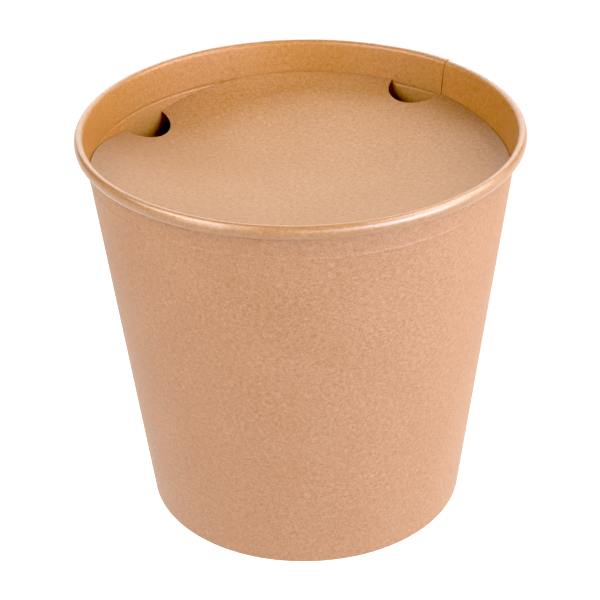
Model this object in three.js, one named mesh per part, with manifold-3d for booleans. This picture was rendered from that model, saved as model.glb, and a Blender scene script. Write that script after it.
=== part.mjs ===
// A kraft paper food bucket, shut by a paper lid that is pressed down into its mouth.
// Millimetres, +Z up, with the origin at the centre of the ring that the bucket stands on.
import * as THREE from "three";
import { mergeVertices } from "three/addons/utils/BufferGeometryUtils.js";
import Module from "manifold-3d";

const { degToRad, radToDeg, euclideanModulo, smoothstep } = THREE.MathUtils;
const quarter = Math.PI / 2;

// The bucket as a whole
const height = 203; // table to the top of the rolled rim
const rimRadius = 109; // widest part of the rolled rim
const shoulderRadius = 104.45; // outside of the wall, level with the underside of the rim
const baseRadius = 80.8; // outside of the wall at the table
const board = 0.5; // thickness of every paper board
const gap = 0.3; // room between two boards that lie on each other

// The rolled rim
const rimHeight = 6.7;
const rimCrown = 2.2; // from the highest line of the rim out to its widest
const tuckWidth = 1.7; // the end of the roll, turned in under the rim
const tuckHeight = 2.2;

// The groove pressed into the wall, which holds the lid
const grooveDepth = 18.4; // its middle, below the top
const grooveHalf = 1.3;
const grooveBulge = 0.2;

// The side seam, where one end of the wall's blank is glued over the other
const seamAngle = 44; // edge of the inner layer, seen inside the mouth
const seamOverlap = 6; // degrees of double wall, up to the edge of the outer layer
const seamSettle = 15; // degrees over which the inner layer comes out to the full radius
const seamStep = 0.15; // degrees taken by the step at each edge

// The floor, with a skirt turned down inside the foot of the wall
const floorHeight = 9;
const floorCorner = 1.2;
const skirtFoot = 1.5;
const hemHeight = 7.6; // the wall's own foot is folded in and up, behind the skirt
const hemCorner = 0.3;

// The lid
const lidRadius = 102.3; // where its edge meets the wall
const lidDepth = 16.7; // its edge below the top, where it sits in the groove
const dishDepth = 12.3; // how much lower its middle is
const dishPower = 2.5;
const dipAngle = 143.6; // where the edge is pressed down, out of the groove
const dipDepth = 8.9;
const dipAlong = 60; // reach of that dip towards the middle, and to both sides
const dipAcross = 42.1;
const slipAngle = 9; // it lies lower over a stretch of its right side too
const slipWidth = 32;
const slipDepth = 4;
const lidRings = [0, 0.2, 0.4, 0.55, 0.7, 0.8, 0.9, 1]; // shares of the lid's radius
const notchRadius = 14.3;
const notchAngle = 53.25; // the first half-round notch; the others follow at quarter turns
const notchCount = 4;
const notchSides = 40;

const mergeDistance = 1e-3;
const columnCount = 60;
const columns = columnAngles();

function columnAngles() {
  const angles = [seamAngle + seamOverlap + seamStep, seamAngle - seamStep + 360];
  for (let i = 0; i < columnCount; i += 1) {
    angles.push(seamAngle + (360 * i) / columnCount);
  }
  return angles.sort((a, b) => a - b);
}

const lean = (shoulderRadius - baseRadius) / (height - rimHeight);
const slope = Math.atan(lean);

function wallInside(z) {
  return baseRadius + lean * z - board;
}

// How far the seam brings a face of the wall in, in boards: the food side all along the overlap,
// and both sides past it, where the wall goes on from the inner layer.
function seamShift(angle, foodSide) {
  const past = euclideanModulo(angle - seamAngle, 360);
  if (past <= seamOverlap) return foodSide ? 1 : 0;
  return 1 - smoothstep(past, seamOverlap, seamOverlap + seamSettle);
}

// A section turned about the axis. Each of its points is pushed, at the seam, by its own vector.
function turned(section) {
  const outline = section.map((point) => point.at);
  const shape = new THREE.LatheGeometry(outline, columns.length);
  const position = shape.getAttribute("position");
  for (let i = 0; i < position.count; i += 1) {
    const { at, push, foodSide } = section[i % section.length];
    const angle = columns[Math.floor(i / section.length) % columns.length];
    const shift = seamShift(angle, foodSide) * board;
    const radius = at.x + push.x * shift;
    const turn = degToRad(angle);
    position.setXYZ(i, radius * Math.cos(turn), radius * Math.sin(turn), at.y + push.y * shift);
  }
  return shape;
}

// A section that the seam leaves alone.
function plainSection(outline) {
  return outline.map((at) => ({ at, push: new THREE.Vector2(), foodSide: true }));
}

// The section of one board, from stretches of its food side: [curve, steps, share of the seam].
function boardSection(stretches) {
  const food = [];
  const out = [];
  stretches.forEach(([curve, steps, share], index) => {
    const last = index === stretches.length - 1 ? steps : steps - 1;
    for (let i = 0; i <= last; i += 1) {
      const along = curve.getTangent(i / steps);
      const through = new THREE.Vector2(along.y, -along.x);
      const push = through.clone().multiplyScalar(-share);
      const at = curve.getPoint(i / steps);
      food.push({ at, push, foodSide: true });
      out.push({ at: at.clone().addScaledVector(through, board), push, foodSide: false });
    }
  });
  return [...out, ...food.reverse(), out[0]];
}

function line(x0, y0, x1, y1) {
  return new THREE.LineCurve(new THREE.Vector2(x0, y0), new THREE.Vector2(x1, y1));
}

// An arc from one angle to the other, clockwise where the second is the smaller.
function arc(x, y, radiusX, radiusY, from, to) {
  return new THREE.EllipseCurve(x, y, radiusX, radiusY, from, to, to < from);
}

function bend(...coordinates) {
  const points = [];
  for (let i = 0; i < coordinates.length; i += 2) {
    points.push(new THREE.Vector2(coordinates[i], coordinates[i + 1]));
  }
  return new THREE.CubicBezierCurve(...points);
}

// The wall: hemmed in at its foot, grooved for the lid and rolled outwards at the mouth.
function makeWall() {
  const wallLine = (z0, z1) => line(wallInside(z0), z0, wallInside(z1), z1);
  const hemIn = 2 * gap + board; // the hem lies this far in from the wall, round the skirt
  const hemFloor = board + hemCorner;
  const hemX = wallInside(hemFloor) - hemIn;
  const footX = wallInside(hemFloor);
  const seamStart = floorHeight + 2 * floorCorner;

  const grooveZ = height - grooveDepth;
  const lower = grooveZ - grooveHalf;
  const upper = grooveZ + grooveHalf;
  const crest = wallInside(grooveZ) + grooveBulge;
  const ease = grooveHalf / 2;

  // the round lip leads from the wall to the rim's highest line, and touches both
  const crownX = rimRadius - rimCrown;
  const lip = ((crownX - wallInside(height)) * Math.cos(slope)) / (1 - Math.sin(slope));
  const lipZ = height - lip;
  const tuckZ = height - rimHeight + tuckHeight;

  return turned(
    boardSection([
      [line(wallInside(hemHeight) - hemIn, hemHeight, hemX, hemFloor), 1, 0],
      [arc(hemX + hemCorner, hemFloor, hemCorner, hemCorner, 2 * quarter, 3 * quarter), 2, 0],
      [line(hemX + hemCorner, board, footX - hemCorner, board), 1, 0],
      [arc(footX - hemCorner, hemFloor, hemCorner, hemCorner, 3 * quarter, 4 * quarter), 2, 0],
      [wallLine(hemFloor, floorHeight + floorCorner), 1, 0],
      [wallLine(floorHeight + floorCorner, seamStart), 1, 0],
      [wallLine(seamStart, lower), 3, 1],
      [bend(wallInside(lower), lower, wallInside(lower + ease), lower + ease,
        crest, grooveZ - ease, crest, grooveZ), 2, 1],
      [bend(crest, grooveZ, crest, grooveZ + ease,
        wallInside(upper - ease), upper - ease, wallInside(upper), upper), 2, 1],
      [wallLine(upper, lipZ + lip * Math.sin(slope)), 1, 1],
      [arc(crownX, lipZ, lip, lip, 2 * quarter - slope, quarter), 5, 1],
      [arc(crownX, height - rimHeight / 2, rimCrown, rimHeight / 2, quarter, -quarter), 7, 0.5],
      [arc(crownX, tuckZ, tuckWidth, tuckHeight, -quarter, -2 * quarter), 3, 0],
    ]),
  );
}

// The floor: a flat disc with its skirt turned down along the wall.
function makeFloor() {
  const skirt = (z) => wallInside(z) - gap;
  const cornerZ = floorHeight - floorCorner;
  const innerCorner = floorCorner - board;
  const centre = skirt(cornerZ) - floorCorner;
  const under = arc(centre, cornerZ, innerCorner, innerCorner, quarter, 0);
  const over = arc(centre, cornerZ, floorCorner, floorCorner, 0, quarter);
  const outline = [
    new THREE.Vector2(0, floorHeight - board),
    ...under.getPoints(2),
    new THREE.Vector2(skirt(skirtFoot) - board, skirtFoot),
    new THREE.Vector2(skirt(skirtFoot), skirtFoot),
    ...over.getPoints(3),
    new THREE.Vector2(0, floorHeight),
  ];
  return turned(plainSection(outline));
}

// How far a point of the lid lies below the top of the rim.
function lidDrop(share, angle) {
  const off = degToRad(angle - dipAngle);
  const along = (lidRadius * (1 - share * Math.cos(off))) / dipAlong;
  const across = (lidRadius * share * Math.sin(off)) / dipAcross;
  const dipped = dipDepth * Math.exp(-along * along - across * across);
  const dished = dishDepth * (1 - share ** dishPower);
  const aside = (euclideanModulo(angle - slipAngle + 180, 360) - 180) / slipWidth;
  const slipped = slipDepth * Math.exp(-aside * aside) * share ** 2;
  return lidDepth + dished + dipped + slipped;
}

// The flat disc takes the dished form that it has in the mouth, and its edge follows the wall.
function pressIn(shape) {
  const position = shape.getAttribute("position");
  for (let i = 0; i < position.count; i += 1) {
    const share = Math.hypot(position.getX(i), position.getY(i)) / lidRadius;
    const turn = Math.atan2(position.getY(i), position.getX(i));
    const angle = euclideanModulo(radToDeg(turn), 360);
    const wall = wallInside(height - lidDrop(1, angle));
    const edge = wall - seamShift(angle, true) * board - gap;
    const z = height - lidDrop(share, angle) + position.getZ(i);
    position.setXYZ(i, share * edge * Math.cos(turn), share * edge * Math.sin(turn), z);
  }
}

function makeLid(wasm) {
  const underside = lidRings.map((share) => new THREE.Vector2(share * lidRadius, -board / 2));
  const topside = lidRings.map((share) => new THREE.Vector2(share * lidRadius, board / 2)).reverse();
  const outline = [...underside, ...topside];
  const disc = turned(plainSection(outline));
  pressIn(disc);

  let lid = toSolid(wasm, disc);
  for (let i = 0; i < notchCount; i += 1) {
    const turn = degToRad(notchAngle + (360 * i) / notchCount);
    const punch = new THREE.CylinderGeometry(notchRadius, notchRadius, height, notchSides);
    punch.rotateX(quarter);
    punch.translate(lidRadius * Math.cos(turn), lidRadius * Math.sin(turn), height);
    lid = lid.subtract(toSolid(wasm, punch));
  }
  return fromSolid(lid);
}

function toSolid(wasm, shape) {
  const bare = new THREE.BufferGeometry();
  bare.setAttribute("position", shape.getAttribute("position"));
  bare.setIndex(shape.getIndex());
  const merged = mergeVertices(bare, mergeDistance);
  const vertProperties = merged.getAttribute("position").array;
  const triVerts = new Uint32Array(merged.getIndex().array);
  return new wasm.Manifold(new wasm.Mesh({ numProp: 3, vertProperties, triVerts }));
}

function fromSolid(solid) {
  const mesh = solid.getMesh();
  const shape = new THREE.BufferGeometry();
  shape.setAttribute("position", new THREE.BufferAttribute(mesh.vertProperties, 3));
  shape.setIndex(new THREE.BufferAttribute(mesh.triVerts, 1));
  shape.computeVertexNormals();
  return shape;
}

function paper(color, roughness) {
  return new THREE.MeshStandardMaterial({ color, roughness, metalness: 0, side: THREE.DoubleSide });
}

function piece(name, shape, material) {
  const mesh = new THREE.Mesh(shape, material);
  mesh.name = name;
  return mesh;
}

const wasm = await Module();
wasm.setup();

const bucket = new THREE.Group();
bucket.add(piece("bucket_wall", makeWall(), paper(0xd6a47c, 0.6)));
bucket.add(piece("bucket_floor", makeFloor(), paper(0xcf9c72, 0.75)));
bucket.add(piece("lid", makeLid(wasm), paper(0xd9ac84, 0.8)));

export default bucket;
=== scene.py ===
import math
import bpy
import bmesh
from mathutils import Matrix, Vector, noise
from mathutils.geometry import interpolate_bezier


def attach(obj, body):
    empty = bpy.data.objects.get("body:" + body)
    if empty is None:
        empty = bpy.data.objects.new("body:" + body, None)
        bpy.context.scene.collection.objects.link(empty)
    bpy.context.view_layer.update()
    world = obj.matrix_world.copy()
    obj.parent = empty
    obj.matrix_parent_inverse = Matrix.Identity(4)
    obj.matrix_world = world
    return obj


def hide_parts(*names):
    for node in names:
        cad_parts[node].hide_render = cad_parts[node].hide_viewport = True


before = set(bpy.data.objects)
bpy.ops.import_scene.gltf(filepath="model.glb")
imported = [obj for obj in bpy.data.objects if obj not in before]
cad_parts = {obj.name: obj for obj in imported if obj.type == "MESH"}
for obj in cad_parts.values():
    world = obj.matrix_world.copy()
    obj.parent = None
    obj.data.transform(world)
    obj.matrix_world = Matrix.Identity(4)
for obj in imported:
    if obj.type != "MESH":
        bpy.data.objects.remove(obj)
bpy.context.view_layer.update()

quarter = math.pi / 2
mm = 0.001
weldDistance = 0.001 * mm

# The bucket as a whole, in metres. Angles are in degrees, anticlockwise from +X.
bucket = {
    "height": 203 * mm,  # table to the top of the rolled rim
    "rimRadius": 109 * mm,
    "shoulderRadius": 104.45 * mm,  # outside of the wall, level with the underside of the rim
    "baseRadius": 80.8 * mm,
    "rimHeight": 6.7 * mm,
    "board": 0.5 * mm,
    "gap": 0.3 * mm,  # room between two boards that lie on each other
    "seamAngle": 44,  # edge of the inner layer, seen inside the mouth
    "seamOverlap": 6,
    "seamSettle": 15,  # the inner layer comes out to the full radius over this turn
    "sharpAngle": 40,  # edges that turn more than this stay sharp
}
board = bucket["board"]
lean = (bucket["shoulderRadius"] - bucket["baseRadius"]) / (bucket["height"] - bucket["rimHeight"])
slope = math.atan(lean)


def wallInside(z):
    return bucket["baseRadius"] + lean * z - board


def smooth(value, low, high):
    t = min(max((value - low) / (high - low), 0), 1)
    return t * t * (3 - 2 * t)


def swell(form, angle):
    off = (angle - form["angle"] + 180) % 360 - 180
    return form["depth"] * math.exp(-((off / form["width"]) ** 2))


def seamShift(past):
    # how many boards the seam brings the wall in, so far round from the inner layer's edge
    overlap = bucket["seamOverlap"]
    return 1 - smooth(past, overlap, overlap + bucket["seamSettle"])


# Sections are lists of points, each made without its last point, so that the next one follows on.
def line(x0, z0, x1, z1, steps):
    return [(x0 + (x1 - x0) * i / steps, z0 + (z1 - z0) * i / steps) for i in range(steps)]


def arc(x, z, radiusX, radiusZ, start, end, steps):
    turns = [start + (end - start) * i / steps for i in range(steps)]
    return [(x + radiusX * math.cos(turn), z + radiusZ * math.sin(turn)) for turn in turns]


def bend(corners, steps):
    curve = interpolate_bezier(*(Vector(corner) for corner in corners), steps + 1)
    return [(point.x, point.y) for point in curve[:-1]]


def arcLengths(points):
    lengths = [0]
    for start, end in zip(points, points[1:]):
        lengths.append(lengths[-1] + math.dist(start, end))
    return lengths


def spinSection(points, angle, turn, steps):
    # a chain of edges, standing at one angle round the axis, spun into a sheet
    bm = bmesh.new()
    stand = Matrix.Rotation(math.radians(angle), 3, "Z")
    verts = [bm.verts.new(stand @ Vector((x, 0, z))) for x, z in points]
    for start, end in zip(verts, verts[1:]):
        bm.edges.new((start, end))
    bmesh.ops.spin(
        bm, geom=bm.verts[:] + bm.edges[:], cent=(0, 0, 0), axis=(0, 0, 1),
        angle=math.radians(turn), steps=steps, use_merge=turn == 360,
    )
    bm.verts.ensure_lookup_table()
    return bm


def faceTowards(bm, side):
    # all faces one way round, so that most of their area faces the side given for their place
    bmesh.ops.recalc_face_normals(bm, faces=bm.faces[:])
    bm.normal_update()
    facing = sum(
        face.calc_area() * face.normal.dot(side(face.calc_center_median())) for face in bm.faces
    )
    if facing < 0:
        bmesh.ops.reverse_faces(bm, faces=bm.faces[:])


def inwards(place):
    return Vector((-place.x, -place.y, 0))


def upwards(place):
    return Vector((0, 0, 1))


def thicken(bm):
    # the sheet gets its thickness behind its faces: paper 0 in front, 1 behind, 2 on the cut edges
    front = set(bm.faces)
    result = bmesh.ops.solidify(bm, geom=bm.faces[:], thickness=board)
    back = {face for face in result["geom"] if isinstance(face, bmesh.types.BMFace)}
    for face in bm.faces:
        face.smooth = True
        face.material_index = 0 if face in front else 1 if face in back else 2


def finishPiece(bm, name, node, papers):
    mesh = bpy.data.meshes.new(name)
    bm.to_mesh(mesh)
    bm.free()
    mesh.set_sharp_from_angle(angle=math.radians(bucket["sharpAngle"]))
    for paper in papers:
        mesh.materials.append(paper)
    piece = bpy.data.objects.new(name, mesh)
    bpy.context.scene.collection.objects.link(piece)
    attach(piece, "root")
    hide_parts(node)
    print(name, len(mesh.polygons), "faces")


class Wire:
    # one output of a node, which takes part in Python expressions
    def __init__(self, paint, socket):
        self.paint = paint
        self.socket = socket

    def math(self, operation, *values):
        return self.paint.node("Math", {"operation": operation}, dict(enumerate(values)))

    def __add__(self, other):
        return self.math("ADD", self, other)

    def __radd__(self, other):
        return self.math("ADD", other, self)

    def __sub__(self, other):
        return self.math("SUBTRACT", self, other)

    def __rsub__(self, other):
        return self.math("SUBTRACT", other, self)

    def __mul__(self, other):
        return self.math("MULTIPLY", self, other)

    def __rmul__(self, other):
        return self.math("MULTIPLY", other, self)


class Paint:
    # the nodes of one material
    def __init__(self, name):
        self.material = bpy.data.materials.new(name)
        self.material.use_nodes = True
        self.tree = self.material.node_tree
        self.tree.nodes.clear()

    def node(self, kind, settings, values, output=0):
        # sockets go by name, or by number where a node has several of one name
        made = self.tree.nodes.new("ShaderNode" + kind)
        for name, setting in settings.items():
            setattr(made, name, setting)
        for name, value in values.items():
            if isinstance(value, Wire):
                self.tree.links.new(value.socket, made.inputs[name])
            else:
                made.inputs[name].default_value = value
        return Wire(self, made.outputs[output])

    def place(self):
        return self.node("TexCoord", {}, {}, output="Object")

    def vector(self, operation, *values, output=0):
        return self.node("VectorMath", {"operation": operation}, dict(enumerate(values)), output)

    def range(self, value, low, high):
        return self.node(
            "MapRange", {"interpolation_type": "SMOOTHSTEP"},
            {"Value": value, "From Min": low, "From Max": high, "To Min": 0, "To Max": 1},
        )

    def laid(self, where, length, width, turn=0, offset=0):
        # coordinates counted in marks of this length and width, turned by some degrees
        return self.node(
            "Mapping", {"vector_type": "TEXTURE"},
            {"Vector": where, "Location": (offset, offset, offset),
             "Rotation": (0, 0, math.radians(turn)), "Scale": (length, width, length)},
        )

    def noise(self, where, detail, roughness, dimensions="2D"):
        return self.node(
            "TexNoise", {"noise_dimensions": dimensions},
            {"Vector": where, "Scale": 1, "Detail": detail, "Roughness": roughness},
        )

    def mix(self, factor, low, high):
        return self.node("Mix", {"data_type": "RGBA"}, {0: factor, 6: low, 7: high}, output=2)

    def finish(self, shader):
        out = self.tree.nodes.new("ShaderNodeOutputMaterial")
        self.tree.links.new(shader.socket, out.inputs["Surface"])
        return self.material


# What all the papers share. A share is how much a mark counts in the paper's tone.
kraft = {
    "cloud": 34 * mm,  # size of the soft clouds in the pulp
    "cloudShare": 0.36,
    "mottle": 3.2 * mm,
    "mottleShare": 0.32,
    "mottleHeight": 0.6,
    "grain": 0.62 * mm,
    "grainShare": 0.37,
    "grainHeight": 0.5,
    "spotRoughness": 0.6,
    "fibreLength": 3.0 * mm,
    "fibreWidth": 0.36 * mm,
    "fibreTurns": (12, 48, 83, 127, 161),
    "fibreRange": 0.22,  # noise this far above or below its middle is a full pale or dark fibre
    "fibreShare": 0.20,
    "fibreHeight": 0.1,
    "speck": 9 * mm,  # spacing of the specks
    "speckTurn": 20,
    "speckSize": (0.045, 0.02),  # where it begins and is full, as parts of the spacing
    "speckShare": 0.5,
    "speckTone": (0.5, 0.35, 0.2),  # of the paper's own colour
    "relief": 0.06 * mm,
    "reliefStrength": 0.35,
    "coatRoughness": 0.28,
}

# Short creases across the rolled rim, where the board is drawn round it. Upright they are longer
# than their size, as this part of their height is counted.
creases = {"size": 1.6 * mm, "upright": 0.25, "detail": 2, "height": 9}

# Each paper: its colour, how far its tones part from it, and where its pattern starts.
wallSpread = (0.155, 0.31, 0.68)
outsidePaper = {
    "name": "kraft outside", "colour": (0.268, 0.120, 0.047), "spread": wallSpread,
    "offset": 0 * mm, "roughness": 0.5, "shine": 1.0, "coat": 0,
}
coatedPaper = {
    "name": "kraft coated food side", "colour": (0.315, 0.135, 0.029), "spread": (0.12, 0.25, 0.80),
    "offset": 140 * mm, "roughness": 0.5, "shine": 0.6, "coat": 0.12,
    "rolled": (0.252, 0.114, 0.037),  # its colour on the rolled rim
}
lidPaper = {
    "name": "kraft lid", "colour": (0.288, 0.135, 0.044), "spread": (0.165, 0.29, 0.90),
    "offset": 310 * mm, "roughness": 0.5, "shine": 1.0, "coat": 0,
}
floorPaper = {
    "name": "kraft floor", "colour": (0.32, 0.16, 0.07), "spread": wallSpread,
    "offset": 450 * mm, "roughness": 0.6, "shine": 0.5, "coat": 0,
}
cutPaper = {
    "name": "kraft cut edge", "colour": (0.27, 0.115, 0.035), "spread": wallSpread,
    "offset": 520 * mm, "roughness": 0.8, "shine": 0.3, "coat": 0,
}


def rimCreases(paint):
    place = paint.place()
    ring = paint.vector("NORMALIZE", paint.vector("MULTIPLY", place, (1, 1, 0)))
    ring = paint.vector("MULTIPLY", ring, (bucket["rimRadius"], bucket["rimRadius"], 0))
    upright = paint.vector("MULTIPLY", place, (0, 0, creases["upright"]))
    marks = paint.laid(paint.vector("ADD", ring, upright), creases["size"], creases["size"])
    height = paint.noise(marks, creases["detail"], kraft["spotRoughness"], "3D") - 0.5
    return height * creases["height"]


def kraftPaint(paper):
    # brown unbleached paper: clouds, mottling, crossing fibres and sparse specks
    paint = Paint(paper["name"])
    # the place on the flat sheet, and how far it is part of the rolled rim
    blank = paint.node("Attribute", {"attribute_name": "blank"}, {}, output="Vector")
    colour, offset, coat = paper["colour"], paper["offset"], paper["coat"]
    light = (*(c * (1 + part) for c, part in zip(colour, paper["spread"])), 1)
    dark = (*(c * (1 - part) for c, part in zip(colour, paper["spread"])), 1)

    def spots(size, detail, turn=0):
        marks = paint.laid(blank, size, size, turn, offset)
        return paint.noise(marks, detail, kraft["spotRoughness"]) - 0.5

    cloud = spots(kraft["cloud"], detail=3)
    mottle = spots(kraft["mottle"], detail=3, turn=30)
    grain = spots(kraft["grain"], detail=1, turn=10)
    fibres = 0
    for number, turn in enumerate(kraft["fibreTurns"]):
        laid = paint.laid(blank, kraft["fibreLength"], kraft["fibreWidth"], turn, offset + number)
        strands = paint.noise(laid, detail=0, roughness=0.5)
        pale = paint.range(strands, 0.5, 0.5 + kraft["fibreRange"])
        fibres = fibres + pale - paint.range(strands, 0.5, 0.5 - kraft["fibreRange"])

    tone = cloud * kraft["cloudShare"] + mottle * kraft["mottleShare"]
    tone = tone + grain * kraft["grainShare"] + fibres * kraft["fibreShare"] + 0.5
    toned = paint.mix(tone, dark, light)
    speckMap = paint.laid(blank, kraft["speck"], kraft["speck"], kraft["speckTurn"], offset)
    speck = paint.node("TexVoronoi", {"voronoi_dimensions": "2D"}, {"Vector": speckMap, "Scale": 1})
    speckColour = (*(c * part for c, part in zip(colour, kraft["speckTone"])), 1)
    toned = paint.mix(
        paint.range(speck, *kraft["speckSize"]) * kraft["speckShare"], toned, speckColour,
    )

    height = mottle * kraft["mottleHeight"] + grain * kraft["grainHeight"]
    height = height + fibres * kraft["fibreHeight"]
    if "rolled" in paper:
        roll = paint.node("SeparateXYZ", {}, {"Vector": blank}, output="Z")
        height = height + rimCreases(paint) * roll
        change = (*(part / whole for part, whole in zip(paper["rolled"], colour)), 1)
        toned = paint.vector("MULTIPLY", toned, paint.mix(roll, (1, 1, 1, 1), change))
        coat = roll * (1 - coat) + coat
    normal = paint.node("Bump", {}, {
        "Strength": kraft["reliefStrength"], "Distance": kraft["relief"], "Height": height,
    })
    shader = paint.node("BsdfPrincipled", {}, {
        "Base Color": toned, "Roughness": paper["roughness"], "Coat Weight": coat,
        "Coat Roughness": kraft["coatRoughness"], "Specular IOR Level": paper["shine"],
        "Normal": normal,
    })
    return paint.finish(shader)


outsideKraft = kraftPaint(outsidePaper)
coatedKraft = kraftPaint(coatedPaper)
lidKraft = kraftPaint(lidPaper)
floorKraft = kraftPaint(floorPaper)
cutKraft = kraftPaint(cutPaper)
print("materials made")


# The wall: hemmed in at its foot, grooved for the lid and rolled outwards at the mouth.
wall = {
    "hemHeight": 7.6 * mm,
    "hemCorner": 0.3 * mm,
    "seamFoot": 10.2 * mm,  # the inner layer is trimmed below this height
    "seamFull": 16 * mm,
    "grooveDepth": 18.4 * mm,  # middle of the groove below the top
    "grooveHalf": 1.3 * mm,
    "grooveBulge": 0.18 * mm,
    "grooveFade": {"angle": 9, "width": 32, "depth": 1},  # hardly pressed in on the right
    "rimCrown": 2.2 * mm,
    "rollFade": 3.2 * mm,  # the roll's gloss and creases begin this far before its highest line
    "rollRipple": 0.1 * mm,
    "rollRippleSize": 9 * mm,
    "tuckWidth": 1.7 * mm,
    "tuckHeight": 2.2 * mm,
    "tuckSteps": 6,
    "edgeLift": 0.02 * mm,  # the inner layer's free edge stands off the wall
    "edgeLiftTurn": 1.5,
    "steps": 488,  # round the whole turn and its overlap
}


def wallSection():
    # the food side, from the end of the hem to the end of the roll
    gap, height = bucket["gap"], bucket["height"]
    corner = wall["hemCorner"]
    hemIn = 2 * gap + board  # the hem lies this far in from the wall, round the skirt
    hemFloor = board + corner
    hemX = wallInside(hemFloor) - hemIn
    footX = wallInside(hemFloor)

    def up(z0, z1, steps):
        return line(wallInside(z0), z0, wallInside(z1), z1, steps)

    points = line(wallInside(wall["hemHeight"]) - hemIn, wall["hemHeight"], hemX, hemFloor, steps=2)
    points += arc(hemX + corner, hemFloor, corner, corner, 2 * quarter, 3 * quarter, steps=4)
    points += line(hemX + corner, board, footX - corner, board, steps=1)
    points += arc(footX - corner, hemFloor, corner, corner, 3 * quarter, 4 * quarter, steps=4)
    points += up(hemFloor, wall["seamFoot"], steps=3)
    points += up(wall["seamFoot"], wall["seamFull"], steps=3)

    grooveZ = height - wall["grooveDepth"]
    lower, upper = grooveZ - wall["grooveHalf"], grooveZ + wall["grooveHalf"]
    crest = wallInside(grooveZ) + wall["grooveBulge"]
    ease = wall["grooveHalf"] / 2
    outOf = [(wallInside(lower), lower), (wallInside(lower + ease), lower + ease)]
    back = [(wallInside(upper - ease), upper - ease), (wallInside(upper), upper)]
    points += up(wall["seamFull"], lower, steps=12)
    points += bend(outOf + [(crest, grooveZ - ease), (crest, grooveZ)], steps=6)
    points += bend([(crest, grooveZ), (crest, grooveZ + ease)] + back, steps=6)

    # the round lip leads from the wall to the rim's highest line, and touches both
    crownX = bucket["rimRadius"] - wall["rimCrown"]
    rimHalf = bucket["rimHeight"] / 2
    lip = (crownX - wallInside(height)) * math.cos(slope) / (1 - math.sin(slope))
    lipZ = height - lip
    points += up(upper, lipZ + lip * math.sin(slope), steps=5)
    points += arc(crownX, lipZ, lip, lip, 2 * quarter - slope, quarter, steps=10)
    points += arc(crownX, height - rimHalf, wall["rimCrown"], rimHalf, quarter, -quarter, steps=18)
    tuckZ = height - bucket["rimHeight"] + wall["tuckHeight"]
    tuck = (crownX, tuckZ, wall["tuckWidth"], wall["tuckHeight"])
    points += arc(*tuck, -quarter, -2 * quarter, wall["tuckSteps"])
    points += [(crownX - wall["tuckWidth"], tuckZ)]
    return points


def makeWall():
    points = wallSection()
    count = len(points)
    lengths = arcLengths(points)
    crown = max(range(count), key=lambda place: points[place][1])
    rollStart = lengths[crown] - wall["rollFade"]
    tuckStart = count - 1 - wall["tuckSteps"]
    turn = 360 + bucket["seamOverlap"]
    grooveZ = bucket["height"] - wall["grooveDepth"]

    # for each point of the section: which way is outwards through the board, how much the seam
    # brings it in, how far it is part of the roll, and how far the groove presses it out
    throughs, shares, rolls, bulges = [], [], [], []
    for place, (x, z) in enumerate(points):
        before, after = points[max(place - 1, 0)], points[min(place + 1, count - 1)]
        along = Vector((after[0] - before[0], after[1] - before[1])).normalized()
        throughs.append(Vector((along.y, -along.x)))
        if place < tuckStart:
            shares.append(smooth(z, wall["seamFoot"], wall["seamFull"]))
        else:
            shares.append((count - 1 - place) / wall["tuckSteps"])
        rolls.append(smooth(lengths[place], rollStart, lengths[crown]))
        bulges.append(x - wallInside(z) if abs(z - grooveZ) < wall["grooveHalf"] else 0)

    # the flat blank is part of a ring: its radius at the foot, and how far a turn spreads on it
    blankRadius = bucket["baseRadius"] / math.sin(slope)
    bm = spinSection(points, bucket["seamAngle"], turn, wall["steps"])
    blank = bm.verts.layers.float_vector.new("blank")
    places = {}
    for vert in bm.verts:
        step, place = divmod(vert.index, count)
        places[vert] = (step, place)
        past = turn * step / wall["steps"]
        angle = math.radians(bucket["seamAngle"] + past)
        out = Vector((math.cos(angle), math.sin(angle), 0))

        shift = seamShift(past) * board
        if past < bucket["seamOverlap"]:
            shift += wall["edgeLift"] * (1 - smooth(past, 0, wall["edgeLiftTurn"]))
        ripple = noise.noise(vert.co / wall["rollRippleSize"]) * wall["rollRipple"] * rolls[place]
        push = throughs[place] * (ripple - shift * shares[place])
        flattened = bulges[place] * swell(wall["grooveFade"], bucket["seamAngle"] + past)
        vert.co += out * (push.x - flattened) + Vector((0, 0, push.y))

        flat = blankRadius + lengths[place]
        spread = math.radians(past - turn / 2) * math.sin(slope)
        vert[blank] = (flat * math.sin(spread), flat * math.cos(spread), rolls[place])

    faceTowards(bm, inwards)
    lapped = round(bucket["seamOverlap"] * wall["steps"] / turn)
    trimmed = [
        face for face in bm.faces
        if all(places[vert][0] <= lapped for vert in face.verts)
        and any(shares[places[vert][1]] < 1 for vert in face.verts)
    ]
    bmesh.ops.delete(bm, geom=trimmed, context="FACES")
    thicken(bm)
    finishPiece(bm, "wallSheet", "bucket_wall", [coatedKraft, outsideKraft, cutKraft])


# The lid: a dished disc with half-round notches, which follows the wall with its edge.
lid = {
    "radius": 102.3 * mm,
    "depth": 16.7 * mm,  # its edge below the top, where it sits in the groove
    "dishDepth": 12.3 * mm,
    "dishPower": 2.5,
    "dip": {"angle": 143.6, "depth": 8.9 * mm},  # pressed out of the groove there
    "dipAlong": 60 * mm,  # reach of the dip towards the middle, and to both sides
    "dipAcross": 42.1 * mm,
    "slip": {"angle": 9, "width": 32, "depth": 4 * mm},  # lower over a stretch of its right side
    "notchRadius": 14.3 * mm,
    "notchAngle": 53.25,
    "notchCount": 4,
    "notchSteps": 56,  # columns round each notch
    "edgeSteps": 32,  # columns between two notches
    "rings": 40,
    "roundShare": 0.72,  # further out the rings bend round the notches
}


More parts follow.
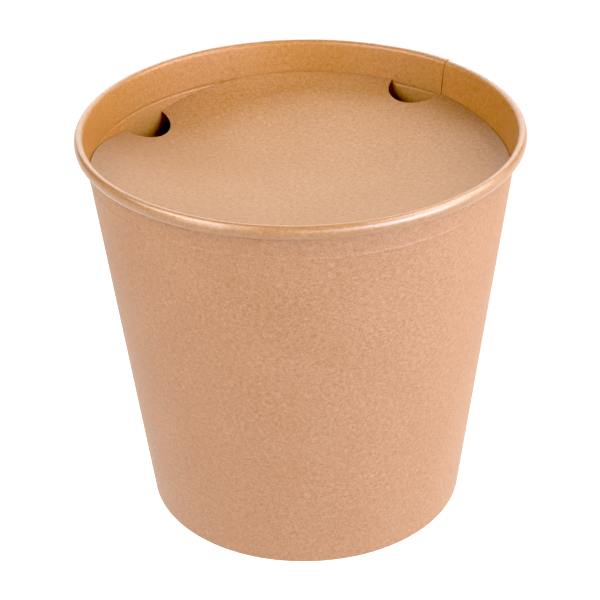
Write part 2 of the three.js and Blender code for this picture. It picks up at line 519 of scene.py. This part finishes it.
def lidDrop(share, angle):
    off = math.radians(angle - lid["dip"]["angle"])
    along = lid["radius"] * (1 - share * math.cos(off)) / lid["dipAlong"]
    across = lid["radius"] * share * math.sin(off) / lid["dipAcross"]
    dipped = lid["dip"]["depth"] * math.exp(-along * along - across * across)
    dished = lid["dishDepth"] * (1 - share ** lid["dishPower"])
    slipped = swell(lid["slip"], angle) * share ** 2
    return lid["depth"] + dished + dipped + slipped


def lidColumns():
    # for each column between one notch and the next: the angle and radius of the lid's edge
    radius, notch = lid["radius"], lid["notchRadius"]
    notchHalf = math.acos(notch / (2 * radius))  # half of the notch's arc
    edge = []
    for i in range(lid["notchSteps"]):
        turn = notchHalf * (2 * i / lid["notchSteps"] - 1)
        x, y = radius - notch * math.cos(turn), notch * math.sin(turn)
        edge.append((math.degrees(math.atan2(y, x)), math.hypot(x, y)))
    start = -edge[0][0]
    between = 360 / lid["notchCount"] - 2 * start
    for i in range(lid["edgeSteps"]):
        edge.append((start + between * i / lid["edgeSteps"], radius))
    return edge


def makeLid():
    edge = lidColumns()
    rings = lid["rings"]
    part = 360 / lid["notchCount"]
    points = [(lid["radius"] * ring / rings, 0) for ring in range(rings + 1)]
    bm = spinSection(points, 0, 360, len(edge) * lid["notchCount"])
    blank = bm.verts.layers.float_vector.new("blank")
    for vert in bm.verts:
        step, ring = divmod(vert.index, rings + 1)
        notch, column = divmod(step, len(edge))
        edgeAngle, edgeRadius = edge[column]
        evenAngle = (column - lid["notchSteps"] / 2) * part / len(edge)
        share = ring / rings
        off = edgeAngle + (evenAngle - edgeAngle) * (1 - share)
        angle = lid["notchAngle"] + notch * part + off
        outer = max(share - lid["roundShare"], 0) / (1 - lid["roundShare"])
        radius = share * lid["radius"] + outer * (edgeRadius - lid["radius"])
        turn = math.radians(angle)
        vert[blank] = (radius * math.cos(turn), radius * math.sin(turn), 0)

        share = radius / lid["radius"]
        wallAt = wallInside(bucket["height"] - lidDrop(1, angle))
        past = (angle - bucket["seamAngle"]) % 360
        reach = share * (wallAt - seamShift(past) * board - bucket["gap"])
        z = bucket["height"] - lidDrop(share, angle) + board / 2
        vert.co = (reach * math.cos(turn), reach * math.sin(turn), z)
    bmesh.ops.remove_doubles(bm, verts=bm.verts[:], dist=weldDistance)
    faceTowards(bm, upwards)
    thicken(bm)
    finishPiece(bm, "lidSheet", "lid", [lidKraft, lidKraft, cutKraft])


# The floor: a disc with its skirt turned down inside the foot of the wall.
floor = {"height": 9 * mm, "corner": 1.2 * mm, "skirtFoot": 1.5 * mm, "steps": 240}


def makeFloor():
    def skirt(z):
        return wallInside(z) - bucket["gap"]

    corner, foot = floor["corner"], floor["skirtFoot"]
    cornerZ = floor["height"] - corner
    centre = skirt(cornerZ) - corner
    points = line(0, floor["height"], centre, floor["height"], steps=16)
    points += arc(centre, cornerZ, corner, corner, quarter, 0, steps=6)
    points += line(skirt(cornerZ), cornerZ, skirt(foot), foot, steps=4)
    points += [(skirt(foot), foot)]
    lengths = arcLengths(points)
    bm = spinSection(points, 0, 360, floor["steps"])
    blank = bm.verts.layers.float_vector.new("blank")
    for vert in bm.verts:
        step, place = divmod(vert.index, len(points))
        turn = 2 * math.pi * step / floor["steps"]
        vert[blank] = (lengths[place] * math.cos(turn), lengths[place] * math.sin(turn), 0)
    bmesh.ops.remove_doubles(bm, verts=bm.verts[:], dist=weldDistance)
    faceTowards(bm, upwards)
    thicken(bm)
    finishPiece(bm, "floorSheet", "bucket_floor", [coatedKraft, floorKraft, cutKraft])


makeWall()
makeLid()
makeFloor()


studio = {
    "floorSize": 3.0,
    "floorGlow": (1.4, 1.05),  # the floor near the bucket, and further than the distances below
    "floorFar": (0.12, 0.5),
    "black": 0.035,  # the photo's deepest shadows are clipped
    "lamps": {
        # name: direction from the bucket (angle, height), distance, width, height, power, colour
        "front strip": (-76, 15, 1.1, 0.7, 0.4, 3.5, (1.05, 1.0, 0.9)),
        "cool strip": (-42, 10, 1.1, 0.95, 0.5, 9.8, (0.86, 1.06, 1.5)),
        "left softbox": (-134, 15, 1.1, 0.5, 0.75, 6.0, (0.94, 0.99, 1.04)),
        "right softbox": (-31, 14, 1.1, 0.7, 0.75, 5.5, (1.0, 1.06, 1.2)),
        "upper left softbox": (-152, 42, 1.1, 0.8, 0.7, 13.5, (1.0, 0.99, 0.95)),
        "upper right softbox": (-5, 50, 1.1, 0.8, 0.7, 11.0, (1.03, 1.02, 1.0)),
        "side softbox": (-2, 22, 1.1, 0.6, 0.7, 5.5, (1.0, 0.97, 0.97)),
        "high backdrop": (90, 41, 1.4, 2.0, 0.4, 9.2, (1.0, 1.0, 1.0)),
        "middle backdrop": (90, 24, 1.4, 2.2, 0.4, 6.2, (1.0, 1.0, 1.0)),
        "low backdrop": (90, 8, 1.4, 2.3, 0.4, 4.5, (1.0, 1.0, 1.0)),
    },
}


def stageFloor():
    bm = bmesh.new()
    bmesh.ops.create_grid(bm, x_segments=4, y_segments=4, size=studio["floorSize"])
    mesh = bpy.data.meshes.new("stageFloor")
    bm.to_mesh(mesh)
    bm.free()
    paint = Paint("white floor")
    near, far = ((glow, glow, glow, 1) for glow in studio["floorGlow"])
    away = paint.vector("LENGTH", paint.place(), output="Value")
    glow = paint.mix(paint.range(away, *studio["floorFar"]), near, far)
    mesh.materials.append(paint.finish(paint.node("Emission", {}, {"Color": glow, "Strength": 1})))
    stage = bpy.data.objects.new("stageFloor", mesh)
    bpy.context.scene.collection.objects.link(stage)


def lamp(name, angle, rise, distance, width, height, power, colour):
    light = bpy.data.lights.new(name, "AREA")
    light.color = colour
    light.shape = "RECTANGLE"
    light.size, light.size_y = width, height
    light.energy = power
    angle, rise = math.radians(angle), math.radians(rise)
    middle = Vector((0, 0, bucket["height"] / 2))
    away = Vector((math.cos(angle) * math.cos(rise), math.sin(angle) * math.cos(rise), math.sin(rise)))
    holder = bpy.data.objects.new(name, light)
    holder.location = middle + away * distance
    holder.rotation_euler = away.to_track_quat("Z", "Y").to_euler()
    bpy.context.scene.collection.objects.link(holder)


def darkRoom():
    # all the light comes from the lamps and the floor
    world = bpy.data.worlds.new("dark room")
    world.use_nodes = True
    world.node_tree.nodes["Background"].inputs["Strength"].default_value = 0
    bpy.context.scene.world = world


# The camera is the photograph's: its place, tilt and lens were fitted to the bucket's outline.
view = {
    "lens": 110.63,
    "distance": 938.65 * mm,
    "rise": 30.005,
    "roll": -1.1136,
    "target": (-1.776 * mm, 0, 104.48 * mm),
    "nearest": 50 * mm,
}


def makeCamera():
    rise, roll = math.radians(view["rise"]), math.radians(view["roll"])
    back = Vector((0, -math.cos(rise), math.sin(rise)))
    side = Vector((1, 0, 0))
    above = back.cross(side)
    right = math.cos(roll) * side + math.sin(roll) * above
    top = math.cos(roll) * above - math.sin(roll) * side
    camera = bpy.data.cameras.new("camera")
    camera.lens = view["lens"]
    camera.clip_start = view["nearest"]
    holder = bpy.data.objects.new("camera", camera)
    place = Matrix.Translation(Vector(view["target"]) + back * view["distance"])
    holder.matrix_world = place @ Matrix((right, top, back)).transposed().to_4x4()
    bpy.context.scene.collection.objects.link(holder)
    bpy.context.scene.camera = holder


def gradeView():
    grade = bpy.context.scene.view_settings
    grade.view_transform = "Standard"
    grade.use_curve_mapping = True
    grade.curve_mapping.black_level = (studio["black"],) * 3


stageFloor()
for name, values in studio["lamps"].items():
    lamp(name, *values)
darkRoom()
makeCamera()
gradeView()
print("studio ready")
